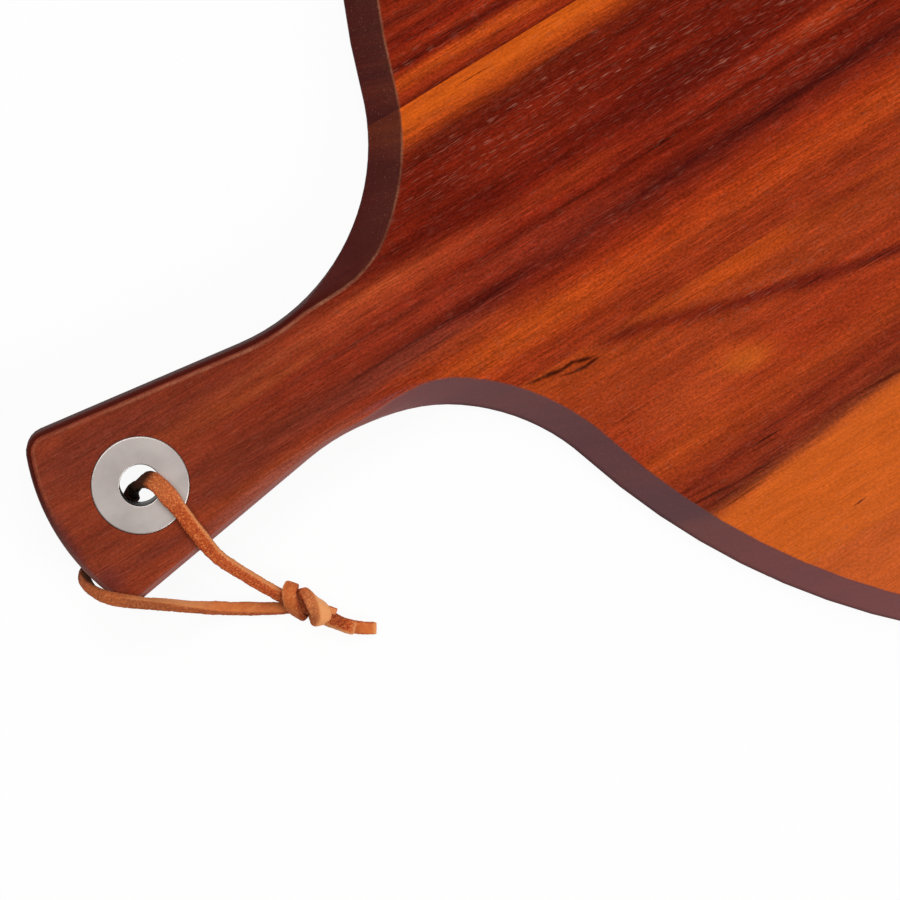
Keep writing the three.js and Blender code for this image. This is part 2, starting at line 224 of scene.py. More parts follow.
def acacia(name, stops, streaks, threads, pores, slope=0.0, drift=1.0, figure=1.0):
    """Oiled acacia, planed and sanded: a low gloss over streaked wood, with painted shade, a painted floor
    reflection and a painted arris highlight on the cut edges.

    Stops are (y, tone) across the stave. Streaks are (x, y, half length, half width, turn in
    degrees, tone, strength): long soft ellipses in the grain. Threads and pores are (x, y, half
    length, half width, turn, strength): where dark threads and open pores crowd. Slope is how the
    grain rises along the stave, drift how far it wanders, and figure how much the fibres show."""
    material, tree = new_material(name)
    place = add(tree, "TexCoord").outputs["Object"]
    place = add(tree, "VectorMath", {0: place, "Scale": 1 / MM}, operation="SCALE").outputs[0]

    # Growth rings wander slowly along the stave, with a small ripple on top. A wave's lengths run
    # along, across and through the stave.
    axis = add(tree, "SeparateXYZ", {0: place}).outputs
    across = axis["Y"]
    for wave, reach in (((150, 26, 40), 2 * drift), ((24, 3, 9), 1.2), ((5, 1.2, 4), 0.35)):
        point = add(tree, "VectorMath", {0: place, 1: [1 / size for size in wave]}, operation="MULTIPLY")
        wander = add(tree, "TexNoise", {"Vector": point.outputs[0], "Scale": 1, "Detail": 1})
        shift = add(tree, "Math", {0: wander.outputs["Fac"], 1: -0.5}, operation="ADD").outputs[0]
        across = add(tree, "Math", {0: shift, 1: reach, 2: across}, operation="MULTIPLY_ADD").outputs[0]
    sunk = add(tree, "Math", {0: axis["Z"], 1: -BOARD_TOP}, operation="ADD").outputs[0]
    across = add(tree, "Math", {0: sunk, 1: RING_LEAN, 2: across}, operation="MULTIPLY_ADD").outputs[0]
    grain = add(tree, "CombineXYZ", {"X": axis["X"], "Y": across}).outputs[0]

    # The run of colour from one edge of the stave to the other
    tilt = add(tree, "Math", {0: axis["X"], 1: -SLOPE_MIDDLE}, operation="ADD").outputs[0]
    level = add(tree, "Math", {0: tilt, 1: -slope, 2: across}, operation="MULTIPLY_ADD").outputs[0]
    low, high = stops[0][0], stops[-1][0]
    share = add(tree, "MapRange", {"Value": level, "From Min": low, "From Max": high}).outputs[0]
    run = [((at - low) / (high - low), TONES.get(tone, tone)) for at, tone in stops]
    tone = add(tree, "ValToRGB", {"Fac": share}, stops=run).outputs["Color"]

    # Soft ellipses: streaks of other wood, then the places where threads and pores crowd
    crowds = {"threads": 0.0, "pores": 0.0}
    spots = [(*spot, "wood") for spot in streaks]
    spots += [(*spot[:5], "", spot[5], "threads") for spot in threads]
    spots += [(*spot[:5], "", spot[5], "pores") for spot in pores]
    for x, y, length, width, turn, wood, strength, use in spots:
        spot = add(tree, "Mapping", {
            "Vector": grain, "Location": (x, y, 0),
            "Rotation": (0, 0, math.radians(turn)), "Scale": (length, width, 1),
        }, vector_type="TEXTURE")
        rim = add(tree, "VectorMath", {0: spot.outputs[0]}, operation="LENGTH").outputs["Value"]
        mask = add(tree, "MapRange", {
            "Value": rim, "From Min": 1, "From Max": 0.15, "To Min": 0, "To Max": strength,
        }, interpolation_type="SMOOTHSTEP").outputs[0]
        if use == "wood":
            other = linear(TONES.get(wood, wood))
            tone = add(tree, "Mix", {0: mask, 6: tone, 7: other}, data_type="RGBA").outputs[2]
        else:
            crowds[use] = add(tree, "Math", {0: crowds[use], 1: mask}, operation="MAXIMUM").outputs[0]

    # Fibres: soft mottling, bands 1.5 mm wide, threads 0.4 and 0.3 mm wide, and the tooth of sanding.
    # Hands have polished the handle, and sapwood is more even, so they show less there.
    shown = add(tree, "MapRange", {
        "Value": axis["X"], "From Min": POLISHED[0], "From Max": POLISHED[1], "To Min": 0.72,
    }).outputs[0]
    pale = add(tree, "RGBToBW", {0: tone}).outputs[0]
    even = add(tree, "MapRange", {
        "Value": pale, "From Min": 0.13, "From Max": 0.2, "To Min": 1, "To Max": 0.55,
    }).outputs[0]
    shown = add(tree, "Math", {0: shown, 1: even}, operation="MULTIPLY").outputs[0]
    for wave, contrast in (
        ((11, 2.6, 3), 0.18), ((55, 1.5, 3), 0.2 * figure), ((15, 0.42, 1), 0.26 * figure),
        ((5, 0.32, 1), 0.3 * figure), ((0.8, 0.45, 1), 0.4),
    ):
        point = add(tree, "VectorMath", {0: grain, 1: [1 / size for size in wave]}, operation="MULTIPLY")
        tooth = add(tree, "TexNoise", {
            "Vector": point.outputs[0], "Scale": 1, "Detail": 2, "Roughness": 0.55,
        }).outputs["Fac"]
        light = add(tree, "MapRange", {
            "Value": tooth, "From Min": 0.25, "From Max": 0.75,
            "To Min": 1 - contrast, "To Max": 1 + contrast,
        }).outputs[0]
        tone = add(tree, "Mix", {
            0: shown, 6: tone, 7: light,
        }, data_type="RGBA", blend_type="MULTIPLY").outputs[2]

    # Dark threads and pale polished pores, some millimetres long, crowded on lines of the grain. The
    # pores are 0.1 mm wide in real wood, too fine to show here, so they are drawn 0.17 mm wide.
    groove = 0.0
    for use, length, width, offset, wood, edge, few, many in (
        ("threads", 14, 0.4, 77, "#2c0a06", 0.58, 0.12, 0.9),
        ("pores", 3.2, 0.17, 31, "#ae705c", 0.6, 0.2, 0.74),
    ):
        point = add(tree, "VectorMath", {
            0: grain, 1: (1 / length, 1 / width, 1), 2: (offset, offset, 0),
        }, operation="MULTIPLY_ADD")
        dash = add(tree, "TexNoise", {"Vector": point.outputs[0], "Scale": 1, "Detail": 0.3})
        point = add(tree, "VectorMath", {
            0: grain, 1: (1 / GRAIN_LINE[0], 1 / GRAIN_LINE[1], 1), 2: (offset, 0, 0),
        }, operation="MULTIPLY_ADD")
        line = add(tree, "TexNoise", {"Vector": point.outputs[0], "Scale": 1, "Detail": 2})
        line = add(tree, "MapRange", {
            "Value": line.outputs["Fac"], "From Min": 0.44, "From Max": 0.6, "To Min": 0.08,
        })
        amount = add(tree, "MapRange", {"Value": crowds[use], "To Min": few, "To Max": many})
        mask = add(tree, "MapRange", {
            "Value": dash.outputs["Fac"], "From Min": edge, "From Max": edge + 0.1,
        }).outputs[0]
        for limit in (line, amount):
            mask = add(tree, "Math", {0: mask, 1: limit.outputs[0]}, operation="MULTIPLY").outputs[0]
        tone = add(tree, "Mix", {0: mask, 6: tone, 7: linear(wood)}, data_type="RGBA").outputs[2]
        groove = add(tree, "Math", {0: groove, 1: mask}, operation="ADD").outputs[0]

    # Cut edges get painted shade and a painted reflection of the white floor: deep brown shade on the left,
    # and a cooler rose-grey reflection on the right, paler along the handle's lower edge
    facing = add(tree, "SeparateXYZ", {0: add(tree, "NewGeometry").outputs["Normal"]}).outputs
    upright = add(tree, "Math", {0: facing["Z"]}, operation="ABSOLUTE").outputs[0]
    brim = add(tree, "MapRange", {
        "Value": axis["X"], "From Min": NECK[0], "From Max": NECK[1], "To Min": 0.993, "To Max": 0.91,
    }).outputs[0]
    edge_shade_full = add(tree, "Math", {0: brim, 1: -0.073}, operation="ADD").outputs[0]
    edge_shade_share = add(tree, "MapRange", {
        "Value": upright, "From Min": brim, "From Max": edge_shade_full, "To Max": 0.86,
    }).outputs[0]
    right = add(tree, "MapRange", {"Value": facing["Y"], "From Min": 0.15, "From Max": -0.3}).outputs[0]
    outer = add(tree, "MapRange", {"Value": axis["Y"], "From Min": -80, "From Max": -92}).outputs[0]
    lower_edge_sheen = add(tree, "MapRange", {"Value": axis["X"], "From Min": LOWER_EDGE_SHEEN[0], "From Max": LOWER_EDGE_SHEEN[1]}).outputs[0]
    # Painted floor reflection on the right-hand edges, painted shade on the left ones
    edge_shade_and_sheen = add(tree, "Mix", {
        0: outer, 6: linear("#66464b"), 7: linear("#6c444a"),
    }, data_type="RGBA").outputs[2]
    edge_shade_and_sheen = add(tree, "Mix", {0: lower_edge_sheen, 6: edge_shade_and_sheen, 7: linear("#95625a")}, data_type="RGBA").outputs[2]
    edge_shade_and_sheen = add(tree, "Mix", {0: right, 6: linear("#44110d"), 7: edge_shade_and_sheen}, data_type="RGBA").outputs[2]
    tone = add(tree, "Mix", {0: edge_shade_share, 6: tone, 7: edge_shade_and_sheen}, data_type="RGBA").outputs[2]

    # Upright walls are left sawn, with painted shade on the left and a painted grey-lilac floor reflection
    # on the right, and painted shade at their foot on the right
    steep = add(tree, "MapRange", {
        "Value": upright, "From Min": 0.4, "From Max": 0.05, "To Max": 0.75,
    }).outputs[0]
    wall_shade_and_sheen = add(tree, "Mix", {
        0: right, 6: linear("#4f3735"), 7: linear("#978388"),
    }, data_type="RGBA").outputs[2]
    tone = add(tree, "Mix", {0: steep, 6: tone, 7: wall_shade_and_sheen}, data_type="RGBA").outputs[2]
    # Painted shade along the foot of the right-hand walls
    foot = add(tree, "MapRange", {
        "Value": axis["Z"], "From Min": 5.6, "From Max": 4.1, "To Max": 0.6,
    }).outputs[0]
    foot = add(tree, "Math", {0: foot, 1: right}, operation="MULTIPLY").outputs[0]
    tone = add(tree, "Mix", {0: foot, 6: tone, 7: linear("#2e0f10")}, data_type="RGBA").outputs[2]

    # The ends of pores are pale specks in the end grain
    endwise = add(tree, "Math", {0: facing["X"]}, operation="ABSOLUTE").outputs[0]
    endwise = add(tree, "MapRange", {
        "Value": endwise, "From Min": 0.3, "From Max": 0.75, "To Max": 0.85,
    }).outputs[0]
    speck = add(tree, "TexNoise", {"Vector": place, "Scale": 1 / 0.45, "Detail": 1}).outputs["Fac"]
    speck = add(tree, "MapRange", {"Value": speck, "From Min": 0.67, "From Max": 0.76}).outputs[0]
    speck = add(tree, "Math", {0: speck, 1: endwise}, operation="MULTIPLY").outputs[0]
    tone = add(tree, "Mix", {0: speck, 6: tone, 7: linear("#93564a")}, data_type="RGBA").outputs[2]

    # The eased arris gets a painted highlight, broken up along each 6 mm and through the tooth of sanding
    arris_highlight = add(tree, "Attribute", attribute_name="arris_highlight").outputs["Fac"]
    tooth_breakup = add(tree, "MapRange", {
        "Value": tooth, "From Min": 0.3, "From Max": 0.65, "To Min": 0.45, "To Max": 1.0,
    })
    highlight_patch = add(tree, "TexNoise", {"Vector": place, "Scale": 1 / 6, "Detail": 2}).outputs["Fac"]
    highlight_patch = add(tree, "MapRange", {
        "Value": highlight_patch, "From Min": 0.38, "From Max": 0.58, "To Min": 0.45,
    })
    for breakup in (tooth_breakup, highlight_patch):
        arris_highlight = add(tree, "Math", {0: arris_highlight, 1: breakup.outputs[0]}, operation="MULTIPLY").outputs[0]
    tone = add(tree, "Mix", {0: arris_highlight, 6: tone, 7: linear("#ab6c50")}, data_type="RGBA").outputs[2]

    # Threads and pores are open grooves, and sawn walls are matt
    relief = add(tree, "Bump", {"Height": groove, "Strength": 0.3, "Distance": 0.06 * MM}, invert=True)
    gloss = add(tree, "MapRange", {"Value": groove, "To Min": 0.34, "To Max": 0.5}).outputs[0]
    sawn = add(tree, "MapRange", {
        "Value": upright, "From Min": 0.42, "From Max": 0.15, "To Max": 0.65,
    }).outputs[0]
    gloss = add(tree, "Math", {0: gloss, 1: sawn}, operation="MAXIMUM").outputs[0]
    shader = add(tree, "BsdfPrincipled", {
        "Base Color": tone, "Roughness": gloss, "Normal": relief.outputs[0],
        "IOR": 1.45, "Specular IOR Level": 0.03,
    })
    add(tree, "OutputMaterial", {"Surface": shader.outputs[0]})
    return material


STAVE_WOOD = {
    "edge_stave_left": acacia(
        "oiled_acacia_left_edge",
        stops=[
            (115, "russet"), (122, "red"), (131, "heart"), (140, "red"), (150, "russet"), (160, "red"),
            (178, "heart"),
        ],
        streaks=[(60, 126, 120, 4, 1, "amber", 0.5), (20, 146, 90, 3, -1, "dark", 0.6)],
        threads=[(40, 135, 140, 8, 0, 0.5)],
        pores=[(70, 150, 100, 14, 0, 0.6)],
        drift=4,
    ),
    "inner_stave_left": acacia(
        "oiled_acacia_left",
        stops=[
            (43.5, "#6c1c0c"), (44.3, "#8c2a11"), (46, "#972f12"), (48, "#b54614"), (49.6, "#b04214"),
            (50.7, "#8a2610"), (51.6, "#5c1509"), (52.6, "#721c0c"), (54.2, "#942c11"), (56, "#801f0e"),
            (58, "#761f0e"), (60, "#8e2911"), (62, "#6c1e0e"), (64.5, "#872710"), (68, "heart"), (74, "red"),
            (82, "russet"), (92, "red"), (104, "heart"), (115, "red"),
        ],
        streaks=[(60, 84, 110, 5, 1, "amber", 0.6), (40, 100, 90, 4, -2, "dark", 0.6)],
        threads=[(-92, 56, 60, 9, 0, 0.7), (60, 95, 90, 8, 0, 0.6)],
        pores=[(-90, 53, 50, 5, 0, 0.35), (60, 75, 110, 14, 0, 0.6)],
    ),
    "handle_stave": acacia(
        "oiled_acacia_handle",
        stops=[
            (-27.3, "#983517"), (-25, "#943215"), (-21.5, "#983415"), (-18, "#a93d15"), (-14.5, "#a83a13"),
            (-11, "#983012"), (-8, "#802511"), (-5.6, "#6d1e11"), (-4, "streak"), (-2.6, "#651a0e"),
            (0.5, "#7c210f"), (2.9, "heart"), (3.8, "dark"), (4.8, "#7e2210"), (8, "#862511"),
            (11, "#7b1f0e"), (14, "#69180a"), (17.5, "#63160a"), (20, "#741d0c"), (23.5, "#69190a"),
            (28, "#761d0c"), (31.5, "#64180a"), (34.6, "#70200d"), (36.4, "#983611"), (38.4, "#ba4b15"),
            (41, "sapwood"), (43.5, "#c85515"),
        ],
        # The streaks at x -231.5 and -228 are painted dark purple-grey shade and sheen on the handle's end,
        # and those at x -182, -151 and -138 near y -14 to -16 a painted rose reflection along its lower edge
        streaks=[
            (-145, 8.5, 60, 6, 0, "#ab4120", 0.9), (-116, -16.5, 42, 5.5, 1, "#b74a17", 0.75),
            (0, -15, 40, 6, 2, "amber", 0.6), (-50, 13.5, 30, 6.5, 0, "#55120a", 0.65),
            (-96, 17.5, 24, 2.6, 0, "dark", 0.6), (-92, 41, 8, 0.22, 1, "#571907", 0.8),
            (-238, 0, 128, 90, 0, "brown", 0.95), (-205, -4.5, 60, 3.2, 0, "#6d2a1b", 0.55),
            (-205, 9, 50, 4, 0, "#733020", 0.5), (-180, -14, 50, 4, -3, "#94401f", 0.5),
            (-135, 0, 75, 5, 0, "#93331d", 0.6), (-150, -8, 45, 4, 0, "#8c3c2a", 0.6),
            (-125, -11, 30, 4, 0, "#a8441f", 0.5), (-192, -11, 22, 4, 0, "#6d2c20", 0.6),
            (-215, 14, 30, 7, 0, "#733022", 0.6), (-190, 6, 40, 5, 0, "#94401f", 0.4),
            (-92, 22, 25, 9, 0, "#8c2812", 0.4), (-92, -2, 28, 7, 0, "#8f2f1c", 0.45),
            (-231.5, -3, 3, 17, 0, "#54292b", 0.6), (-228, -16, 6, 6, 0, "#55262a", 0.5),
            (-213, -15.5, 14, 2.6, 0, "#5e2a22", 0.45), (-86, 8.5, 20, 4, 0, "#a23816", 0.5),
            (-15, 9.5, 16, 3.5, 0, "#a63a18", 0.6), (-151, -13.7, 10, 1.1, -2, "#7a4040", 0.6),
            (-182, -15.8, 36, 2.8, 6, "#9c5242", 0.75), (-138, -15.9, 8, 1.2, -18, "#7a4040", 0.6),
            (-168, -7.2, 40, 2.4, 0, "#672619", 0.45), (-142, -5.4, 28, 0.6, 0, "#4a1a14", 0.55),
            (-138, -8.4, 20, 0.5, 0, "#4a1a14", 0.45), (-162, 1.6, 38, 0.9, 0, "#6a2518", 0.45),
            (-150, 6.5, 30, 0.7, 0, "#76291a", 0.45), (-170, 4.4, 28, 1.7, 0, "#a04724", 0.5),
            (-138, 10.2, 18, 2, 0, "#b04c22", 0.45), (-168, 8.6, 22, 1.4, 0, "#a04a2c", 0.45),
            (-185, 11.5, 18, 0.8, 0, "#6a2a1e", 0.45),
        ],
        threads=[
            (-75, 31, 60, 6, 0, 0.75), (-70, 3.8, 45, 1.4, 1, 0.8), (-60, -4, 90, 3, 2, 0.7),
            (-75, -23, 60, 4, 0, 0.4), (-70, 20, 60, 6, 0, 0.5),
        ],
        pores=[
            (-75, 26, 70, 12, 0, 1), (-28, 11, 50, 15, 0, 1), (-95, -6.5, 45, 3, 0, 0.55),
            (60, 0, 90, 30, 0, 0.9),
        ],
        slope=0.03,
    ),
    "inner_stave_right": acacia(
        "oiled_acacia_right",
        stops=[
            (-103, "#c65b22"), (-92, "honey"), (-84, "#ca5c1e"), (-78, "honey"), (-76.6, "#bd5420"),
            (-75.2, "#8a3a1d"), (-73, "#762917"), (-70, "#8a3018"), (-67.4, "#7e2916"), (-64, "#933517"),
            (-60, "#a63e18"), (-54, "#a23818"), (-48, "#9c3618"), (-40, "#9c3a19"), (-34, "#9f3b17"),
            (-24, "#a33f16"),
        ],
        streaks=[
            (-61, -30, 22, 4, 0, "#bb4915", 0.8), (-72, -49.5, 15, 6, -18, "#c0511c", 0.6),
            (-72, -50.5, 8, 4, -10, "#c85c1e", 0.7), (-96, -60, 22, 4, 4, "#b0481a", 0.5),
            (-45, -54, 34, 6, 3, "#8f2c14", 0.5), (-92, -30.2, 15, 3.8, -12, "#741f10", 0.6),
            (-77, -34.6, 16, 3.8, -16, "#7a220f", 0.55), (-61, -39.2, 16, 3.4, -13, "#761f11", 0.55),
            (-46, -43, 16, 3.8, -12, "#701d11", 0.55), (-92, -30, 13, 1.9, -12, "#681a0e", 0.6),
            (-77, -34.2, 14, 2, -16, "#701d10", 0.65), (-61, -38.6, 14, 1.8, -10, "#641811", 0.75),
            (-46, -42.6, 15, 2.4, -14, "#661a10", 0.75), (-29, -46.4, 15, 2.2, -9, "#58160f", 0.8),
            (-30, -29, 16, 1.5, -3, "#7c2413", 0.6), (-117, -28, 4, 0.5, -6, "#2f0d06", 0.75),
            (-112.5, -28.6, 4.4, 0.8, -9, "#2a0a05", 0.9), (-108.6, -28.9, 3.4, 0.7, 0, "#2a0a05", 0.85),
            (-104.9, -29.7, 4, 0.8, -17, "#2a0a05", 0.9), (-109.8, -30.7, 3, 0.5, -16, "#2f0d06", 0.7),
            (-106.6, -31.3, 3.6, 0.7, -4, "#2a0a05", 0.88), (-103.4, -31.3, 3.2, 0.65, 4, "#2a0a05", 0.88),
            (-95.5, -73.6, 10, 0.8, -5, "#3a120b", 0.85), (-83, -74.2, 12, 0.55, 0, "#43140c", 0.7),
            (-92, -75.5, 8.5, 0.5, 0, "#45160d", 0.7), (-89, -77.6, 10, 0.45, 2, "#5a1f0f", 0.6),
            (-96, -71.4, 9, 0.55, -5, "#4a170e", 0.6), (-101, -69.4, 8, 0.45, -7, "#4a170e", 0.55),
            (-88, -52, 22, 9, 0, "#b44b20", 0.5), (-66, -93.6, 2.6, 0.3, 2, "#4a1a0c", 0.9),
            (-45, -71.8, 14, 0.7, -1, "#4a150b", 0.8),
        ],
        threads=[
            (-72, -70, 62, 7, 6, 1), (-85, -29.5, 30, 3, -8, 0.5), (-45, -43, 40, 4, -12, 0.6),
            (-98, -49, 16, 3, -3, 0.6), (60, -60, 90, 10, 0, 0.6),
        ],
        pores=[(-60, -37, 60, 8, -8, 0.35), (60, -50, 90, 20, 0, 0.5)],
        slope=0.1, figure=0.62,
    ),
    "edge_stave_right": acacia(
        "oiled_acacia_right_edge",
        stops=[
            (-178, "amber"), (-165, "russet"), (-150, "amber"), (-135, "honey"), (-118, "#c55926"),
            (-108, "#c45926"), (-101.5, "#be5524"), (-99.8, "#c05822"),
        ],
        streaks=[(30, -140, 120, 5, 1, "russet", 0.6), (60, -125, 80, 3, -1, "red", 0.4)],
        threads=[(60, -140, 120, 8, 0, 0.5)],
        pores=[(60, -150, 100, 12, 0, 0.4)],
        drift=3, figure=0.5,
    ),
}

for name, wood in STAVE_WOOD.items():
    bm = bmesh.new()
    bm.from_mesh(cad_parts[name].data)
    bmesh.ops.remove_doubles(bm, verts=bm.verts, dist=SAME_POINT * MM)
    bmesh.ops.dissolve_limit(bm, angle_limit=SAME_PLANE, verts=bm.verts, edges=bm.edges)
    for vert in bm.verts:
        for joint in GLUE_JOINTS:
            apart = vert.co.y / MM - joint
            if abs(apart) < JOINT_REACH:
                vert.co.y = (joint + math.copysign(GLUE_HALF, apart)) * MM

    # The line between the flat top and the bevel or rounding is eased, then given a painted highlight line
    # by line
    arris = []
    for edge in bm.edges:
        looks_up = sorted(face.normal.z for face in edge.link_faces)
        if len(looks_up) == 2 and looks_up[1] > TOP_FACE and UNDER_ARRIS[0] < looks_up[0] < UNDER_ARRIS[1]:
            arris.append(edge)
    eased = bmesh.ops.bevel(
        bm, geom=arris, offset=ARRIS * MM, segments=ARRIS_STEPS, profile=0.5, affect="EDGES",
        material=-1, clamp_overlap=True,
    )
    bm.normal_update()
    arris_highlight = bm.verts.layers.float.new("arris_highlight")
    left = {vert for face in eased["faces"] for vert in face.verts}
    line = {vert for vert in left if any(face.normal.z > TOP_FACE for face in vert.link_faces)}
    for at in range(ARRIS_STEPS + 1):
        for vert in line:
            side = min(1, max(HIGHLIGHT_LEAST, HIGHLIGHT_MIDDLE + vert.co.y / MM / HIGHLIGHT_RUN))
            vert[arris_highlight] = side * value_at(ARRIS_HIGHLIGHT, vert.co.x / MM)[at]
        left -= line
        line = {edge.other_vert(vert) for vert in line for edge in vert.link_edges} & left

    # Steep edges stay sharp, and so does the bevel's lower edge
    for edge in bm.edges:
        low, high = sorted(face.normal.z for face in edge.link_faces)
        bevel_foot = abs(low) < WALL and OVER_WALL[0] < high < OVER_WALL[1]
        edge.smooth = edge.calc_face_angle() < CREASE and not bevel_foot
    stave = finish_piece(bm, name + "_wood", wood)
    stave.modifiers.new("flat_faces", "WEIGHTED_NORMAL").keep_sharp = True
    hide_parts(name)
    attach(stave, "root")

# The eyelet: pressed from stainless sheet and tumbled to a satin finish. Its wide flange lies in
# a shallow recess, and its barrel goes down through the handle and is spread over the washer.
EYELET_X = -209.5
FLANGE_TOP = 16.2
FLANGE_UNDER = 15.2
FLANGE_RIM = 11.6
BARREL_OUTER = 5.5
BARREL_INNER = 4.9
LIP_TOP = 4.7
LIP_FOOT = 4.0
LIP_INNER = 5.6
LIP_OUTER = 6.2
RIM_ROUND = 0.4
BORE_ROUND = 0.3
ROUND_STEPS = 5
RING_STEPS = 128
RING_CREASE = math.radians(40)

# Satin stainless steel: broad soft reflections, a little warm, clouded over 6 mm, with faint marks of the
# tumbling 0.4 mm apart. The bore is painted near-black inside, as painted shade.
satin_steel, tree = new_material("satin_stainless_steel")
place = add(tree, "TexCoord").outputs["Object"]
place = add(tree, "VectorMath", {0: place, "Scale": 1 / MM}, operation="SCALE").outputs[0]
cloud = add(tree, "TexNoise", {"Vector": place, "Scale": 1 / 6, "Detail": 2}).outputs["Fac"]
mark = add(tree, "TexNoise", {"Vector": place, "Scale": 1 / 0.4, "Detail": 2}).outputs["Fac"]
tint = add(tree, "ValToRGB", {"Fac": cloud}, stops=((0.3, "#d4c8c2"), (0.7, "#dbd0ca"))).outputs[0]
spoke = add(tree, "VectorMath", {0: place, 1: (-EYELET_X, 0, 0)}, operation="ADD").outputs[0]
spoke = add(tree, "VectorMath", {0: spoke, 1: (1, 1, 0)}, operation="MULTIPLY").outputs[0]
reach = add(tree, "VectorMath", {0: spoke}, operation="LENGTH").outputs["Value"]
# Painted shade inside the bore
oiled = add(tree, "MapRange", {
    "Value": reach, "From Min": BARREL_INNER + 0.12, "From Max": BARREL_INNER + 0.03, "To Max": 0.97,
}).outputs[0]
metal = add(tree, "Mix", {0: oiled, 6: tint, 7: linear("#1c100c")}, data_type="RGBA").outputs[2]
gloss = add(tree, "MapRange", {"Value": cloud, "To Min": 0.44, "To Max": 0.56})
relief = add(tree, "Bump", {"Height": mark, "Strength": 0.12, "Distance": 0.03 * MM})
shader = add(tree, "BsdfPrincipled", {
    "Base Color": metal, "Roughness": gloss.outputs[0], "Normal": relief.outputs[0], "Metallic": 1.0,
})
add(tree, "OutputMaterial", {"Surface": shader.outputs[0]})


def turned_ring(name, profile, rounds):
    """A steel ring turned about the eyelet's axis from a closed (radius, height) profile.

    Rounds give the corners' radius, by the place of the corner in the profile."""
    bm = bmesh.new()
    corners = [bm.verts.new(Vector((EYELET_X + radius, 0, height)) * MM) for radius, height in profile]
    bm.faces.new(corners)
    for at, radius in rounds.items():
        bmesh.ops.bevel(
            bm, geom=[corners[at]], offset=radius * MM, segments=ROUND_STEPS, profile=0.5,
            affect="VERTICES", material=-1,
        )
    outline = list(bm.edges)
    bmesh.ops.delete(bm, geom=list(bm.faces), context="FACES_ONLY")
    bmesh.ops.spin(
        bm, geom=outline, cent=Vector((EYELET_X, 0, 0)) * MM, axis=(0, 0, 1), angle=math.tau,
        steps=RING_STEPS, use_merge=True, use_duplicate=False,
    )
    bmesh.ops.remove_doubles(bm, verts=bm.verts, dist=SAME_POINT / 10 * MM)
    bmesh.ops.recalc_face_normals(bm, faces=bm.faces)
    ring = finish_piece(bm, name, satin_steel)
    ring.data.set_sharp_from_angle(angle=RING_CREASE)
    ring.modifiers.new("flat_faces", "WEIGHTED_NORMAL").keep_sharp = True
    return ring


eyelet = turned_ring("eyelet_steel", [
    (BARREL_OUTER, LIP_TOP), (BARREL_OUTER, FLANGE_UNDER), (FLANGE_RIM, FLANGE_UNDER),
    (FLANGE_RIM, FLANGE_TOP), (BARREL_INNER, FLANGE_TOP), (BARREL_INNER, LIP_TOP),
    (LIP_INNER, LIP_FOOT), (LIP_OUTER, LIP_FOOT),
], {3: RIM_ROUND, 4: BORE_ROUND})
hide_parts("eyelet")
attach(eyelet, "root")

# The washer under the handle: punched from the same sheet, let into the wood, its inner edge
# countersunk for the barrel's spread lip.
WASHER_TOP = 5.0
WASHER_RIM = 10.1
WASHER_BORE = 5.55
WASHER_SINK = 6.25
WASHER_ROUND = 0.25

washer = turned_ring("eyelet_washer_steel", [
    (WASHER_SINK, LIP_FOOT), (WASHER_RIM, LIP_FOOT), (WASHER_RIM, WASHER_TOP),
    (WASHER_BORE, WASHER_TOP), (WASHER_BORE, LIP_TOP),
], {1: WASHER_ROUND})
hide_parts("eyelet_washer")
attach(washer, "root")

# Leather lace: a strip cut from oiled cowhide, 3.1 by 2.1 mm, smooth on its outer face and rough
# like suede on its cut sides and flesh side. One strand goes up through the eyelet, over its flange
# and down to the knot; the other goes under the handle, up past its end and over its corner.
LACE_WIDTH = 3.1
LACE_THICKNESS = 2.1
SECTION_POINTS = 28
SECTION_POWER = 4
STRAND_STEP = 0.35
CURVE_STEPS = 24
TABLE_CLEARANCE = 0.02
# The strip's width wanders by a share of itself, over so many waves per mm. Tufts of nap stand out
# in waves of three sizes; the finest are on rough sides alone.
WIDTH_WANDER = (0.22, 0.08)
TUFTS = ((2.1, 0.08), (0.8, 0.08))
FINE_TUFT = (4.7, 0.07)
SMOOTH_NAP = 0.3
ROUGH_NAP = 0.9
SEED_STEP = 7.3
FRONT_ROUTE = [
    (-209.85, -0.02, 10.15), (-209.15, 0.28, 11.55), (-208.3, 0.45, 13.1), (-207.35, 0.15, 14.8),
    (-206.45, -0.75, 16.35), (-205.75, -2.3, 17.4), (-205.3, -4.4, 17.8), (-205, -6.6, 17.75),
    (-204.7, -9, 17.5), (-204.45, -11.6, 17.35), (-204.25, -14.4, 17.3), (-203.95, -17.2, 17.3),
    (-203.65, -20, 17.1), (-203.2, -22.8, 16.3), (-202.5, -25.4, 14.8), (-201.5, -28, 12.9),
    (-200.4, -30.6, 10.9), (-199.2, -33.3, 8.9), (-197.9, -36.2, 7), (-196.8, -38.4, 5.85),
    (-195.95, -40, 5.2), (-195.35, -41.1, 4.9), (-194.6, -42.3, 4.6),
]
